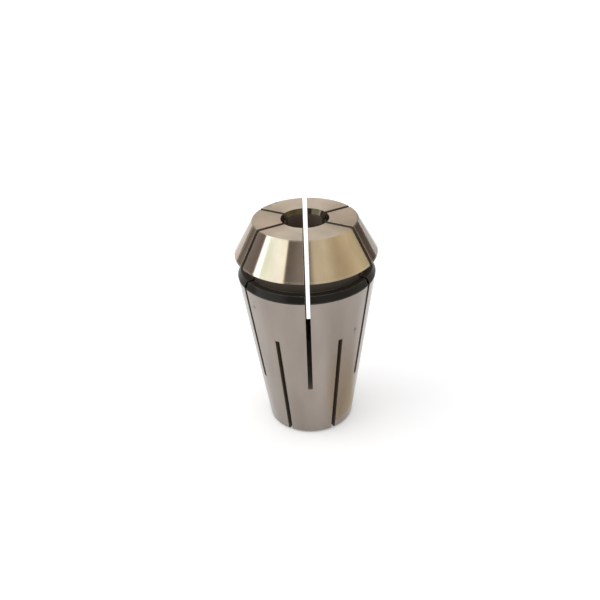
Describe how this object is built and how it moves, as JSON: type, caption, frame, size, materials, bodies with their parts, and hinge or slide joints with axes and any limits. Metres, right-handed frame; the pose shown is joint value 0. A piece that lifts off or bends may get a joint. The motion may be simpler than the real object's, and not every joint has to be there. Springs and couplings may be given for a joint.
{
  "type": "er collet",
  "caption": "Slotted spring collet with a nose cone, an extraction groove and a long taper, which closes on a round tool shank.",
  "frame": {"origin": "centre of the small rear face, on the axis of the bore; the collet stands on that face", "axes": "+Z along the bore, out of the front mouth; a front slot faces -Y and a rear slot faces +X"},
  "size_m": [0.017, 0.017, 0.0275],
  "materials": {
    "tool_steel": "ground tapers and front face, black oxide left in the groove, slots and bore"
  },
  "bodies": {
    "root": {"collet": "tool_steel"}
  },
  "joints": []
}
